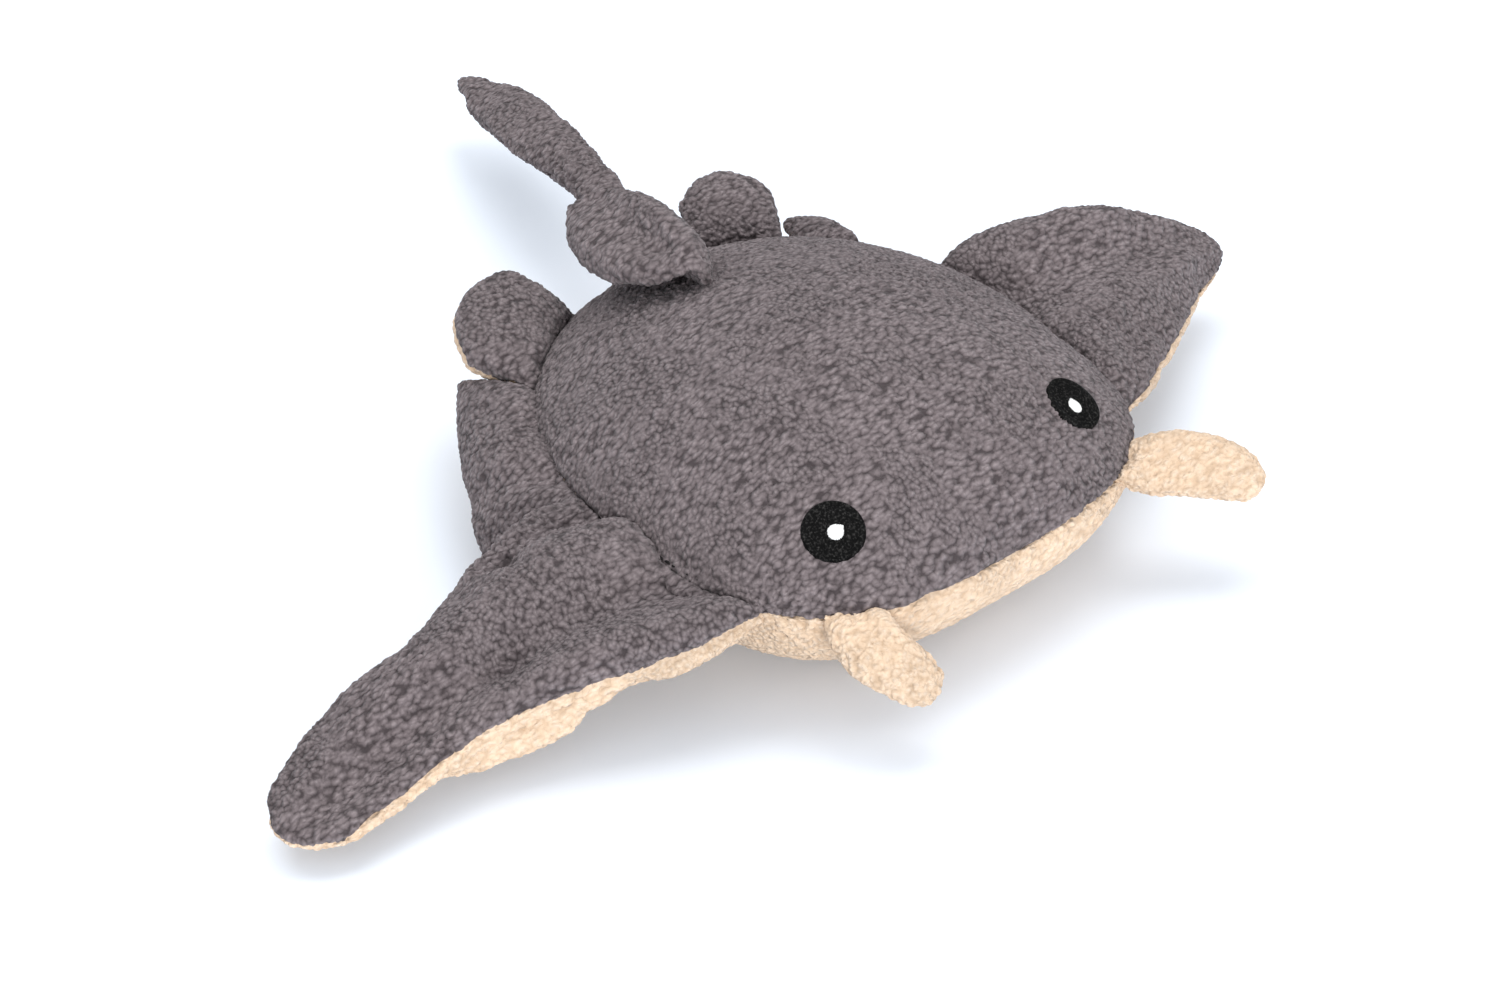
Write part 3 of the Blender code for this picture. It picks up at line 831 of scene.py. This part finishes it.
# ---- Eyes -----------------------------------------------------------------------------------
def stitched_disc(name, centre, outward, radius, rows, height_of, material, spur=0.0):
    """Disc of satin stitches that follows the back; height_of gives its height at each point.

    spur is how far, as a share of the radius, one stitch end sticks out of the disc's edge.
    """
    side = outward.cross(Vector((0, 0, 1))).normalized()
    up = side.cross(outward)
    square = np.linspace(-1, 1, rows + 1)
    sx, sy = np.meshgrid(square, square, indexing="ij")
    x, y = sx * np.sqrt(1 - sy * sy / 2) * radius, sy * np.sqrt(1 - sx * sx / 2) * radius
    height = height_of(x, y)
    swell = spur * np.exp(-((np.arctan2(y, x) - SPUR_TURN) / 0.3) ** 2)
    swell = 1 + swell * (np.hypot(x, y) / radius) ** 4
    x, y = x * swell, y * swell
    points = []
    for a, b, h in zip(x.ravel(), y.ravel(), height.ravel()):
        start = centre + side * a + up * b + outward * 0.02
        hit = back_tree.ray_cast(start, -outward)[0]
        points.append(hit + outward * h)
    number = np.arange((rows + 1) ** 2).reshape(rows + 1, rows + 1)
    data = bpy.data.meshes.new(name)
    data.from_pydata(points, [], quads(number).tolist())
    if data.polygons[len(data.polygons) // 2].normal.dot(outward) < 0:
        data.flip_normals()
    data.shade_smooth()
    data.materials.append(material)
    piece = bpy.data.objects.new(name, data)
    bpy.context.scene.collection.objects.link(piece)
    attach(piece, "torso")
    return piece


def eye_height(x, y):
    """Black patch: a radial satin ring round straight rows of fill."""
    r, turn = np.hypot(x, y), np.arctan2(y, x)
    across = np.clip((r - EYE_RING) / (EYE_RADIUS - EYE_RING), 0, 1)
    outer = 1.0 + 0.18 * np.sin(math.pi * across)
    outer = outer + 0.10 * np.sin(turn * 128)
    inner = 1.05 + 0.10 * np.sin(2 * math.pi * (x * 0.94 + y * 0.34) / (0.48 * MM))
    height = np.where(r > EYE_RING, outer, inner) * MM
    height -= 0.12 * MM * np.exp(-((r - EYE_RING) / (0.3 * MM)) ** 2)
    edge = np.clip((EYE_RADIUS - r) / (0.9 * MM), 0, 1)
    return height * np.sqrt(1 - (1 - edge) ** 2) - 1.2 * MM * (1 - edge) ** 2


def highlight_height(x, y):
    """White highlight: one small dome of straight rows."""
    r = np.hypot(x, y) / HIGHLIGHT_RADIUS
    rows = 0.12 * np.sin(2 * math.pi * (x * 0.3 + y * 0.95) / (0.45 * MM))
    return (0.7 + (0.75 + rows) * np.sqrt(np.maximum(0, 1 - np.minimum(r, 1) ** 4))) * MM


for word, sign in (("right", RIGHT), ("left", LEFT)):
    x, y = sign * EYE_PLACE[0], EYE_PLACE[1]
    hit = back_tree.ray_cast(Vector((x, y, 0.3)), Vector((0, 0, -1)))[0]
    around = [back_tree.ray_cast(Vector((x + a, y + b, 0.3)), Vector((0, 0, -1)))[0]
              for a, b in ((-6 * MM, 0), (6 * MM, 0), (0, -6 * MM), (0, 6 * MM))]
    outward = (around[1] - around[0]).cross(around[3] - around[2]).normalized()
    patch = stitched_disc(f"{word}_eye_embroidery", hit, outward, EYE_RADIUS, 150, eye_height,
                          black_thread)
    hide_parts(f"{word}_eye_patch")
    level = outward.cross(Vector((0, 0, 1))).normalized()
    aside, above = HIGHLIGHT_SHIFT[word]
    spot = hit + level * aside + outward.cross(level) * above
    shine = stitched_disc(f"{word}_eye_highlight_embroidery", spot, outward, HIGHLIGHT_RADIUS, 56,
                          highlight_height, white_thread,
                          spur=HIGHLIGHT_SPUR)
    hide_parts(f"{word}_eye_highlight")


# ---- Seam stitches --------------------------------------------------------------------------
def seam_stitches(word, side):
    """Short dark stitches in the ditch between the body and the fins."""
    bearings = np.linspace(*STITCH_BEARINGS, 400)
    path = seam_point(bearings, side, -STITCH_INSET) + np.array([0, 0, STITCH_RISE])
    run = np.concatenate([[0], np.cumsum(np.linalg.norm(np.diff(path, axis=0), axis=1))])
    points, faces = [], []
    rings, sides = 6, 6
    for start in np.arange(0, run[-1] - STITCH_PITCH, STITCH_PITCH):
        ends = [np.array([np.interp(s, run, path[:, k]) for k in range(3)])
                for s in (start + STITCH_GAP, start + STITCH_PITCH - STITCH_GAP)]
        along = (ends[1] - ends[0]) / np.linalg.norm(ends[1] - ends[0])
        across = np.cross(along, (0, 0, 1.0))
        first = len(points)
        for ring in range(rings + 1):
            t = ring / rings
            middle = ends[0] * (1 - t) + ends[1] * t
            wide = STITCH_RADIUS * math.sqrt(max(0.03, 1 - (2 * t - 1) ** 4))
            sink = STITCH_SINK * (2 * t - 1) ** 4
            for k in range(sides):
                turn = 2 * math.pi * k / sides
                offset = across * math.cos(turn) + np.array([0, 0, 1]) * math.sin(turn)
                points.append(middle + offset * wide - np.array([0, 0, sink]))
        for ring in range(rings):
            for k in range(sides):
                a, b = first + ring * sides + k, first + ring * sides + (k + 1) % sides
                faces.append((a, b, b + sides, a + sides))
        faces.append(tuple(first + k for k in reversed(range(sides))))
        faces.append(tuple(first + rings * sides + k for k in range(sides)))
    data = bpy.data.meshes.new(f"{word}_seam_stitches")
    data.from_pydata(points, [], faces)
    data.shade_smooth()
    data.materials.append(dark_thread)
    piece = bpy.data.objects.new(f"{word}_seam_stitches", data)
    bpy.context.scene.collection.objects.link(piece)
    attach(piece, "torso")
    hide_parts(f"{word}_seam_thread")


seam_stitches("right", RIGHT)
seam_stitches("left", LEFT)


# ---- Floor, light and camera ----------------------------------------------------------------
def floor():
    """White floor under the toy; it belongs to the stage, not to the part."""
    data = bpy.data.meshes.new("floor")
    size = 6.0
    data.from_pydata([(-size, -size, 0), (size, -size, 0), (size, size, 0), (-size, size, 0)],
                     [], [(0, 1, 2, 3)])
    material, tree, shader = shader_tree("floor")
    shader.inputs["Base Color"].default_value = (0.84, 0.895, 0.97, 1)
    shader.inputs["Roughness"].default_value = 0.9
    shader.inputs["Specular IOR Level"].default_value = 0.1
    data.materials.append(material)
    made = bpy.data.objects.new("floor", data)
    bpy.context.scene.collection.objects.link(made)


def soft_light(name, place, aim, size, power):
    """Round area light at a place, turned towards aim."""
    lamp = bpy.data.lights.new(name, "AREA")
    lamp.shape = "DISK"
    lamp.size = size
    lamp.energy = power
    made = bpy.data.objects.new(name, lamp)
    made.location = place
    made.rotation_euler = (Vector(aim) - Vector(place)).to_track_quat("-Z", "Y").to_euler()
    bpy.context.scene.collection.objects.link(made)


floor()
soft_light("overhead_left", (-0.3, 0.9, 1.8), (0, 0.05, 0), 1.3, 11)
soft_light("overhead_right", (0.62, 0.34, 1.8), (0, 0, 0), 1.1, 12)
soft_light("front_fill", (-0.8, -1.8, 0.55), (0, 0, 0.03), 1.0, 25)
world = bpy.data.worlds.new("studio")
world.use_nodes = True
world.node_tree.nodes["Background"].inputs["Color"].default_value = (0.95, 0.97, 1.0, 1)
world.node_tree.nodes["Background"].inputs["Strength"].default_value = 0.87
bpy.context.scene.world = world
bpy.context.scene.view_settings.view_transform = "Standard"

# The camera is fitted to the photo.
AZIMUTH, ELEVATION, DISTANCE = math.radians(-40.5), math.radians(38.5), 1.3
AIM = Vector((-0.0456, -0.014, 0.040))
away = Vector((math.sin(AZIMUTH) * math.cos(ELEVATION), -math.cos(AZIMUTH) * math.cos(ELEVATION),
               math.sin(ELEVATION)))
lens = bpy.data.cameras.new("camera")
lens.lens = 98.28
lens.sensor_width = 36
camera = bpy.data.objects.new("camera", lens)
camera.location = AIM + away * DISTANCE
camera.rotation_euler = (-away).to_track_quat("-Z", "Y").to_euler()
bpy.context.scene.collection.objects.link(camera)
bpy.context.scene.camera = camera
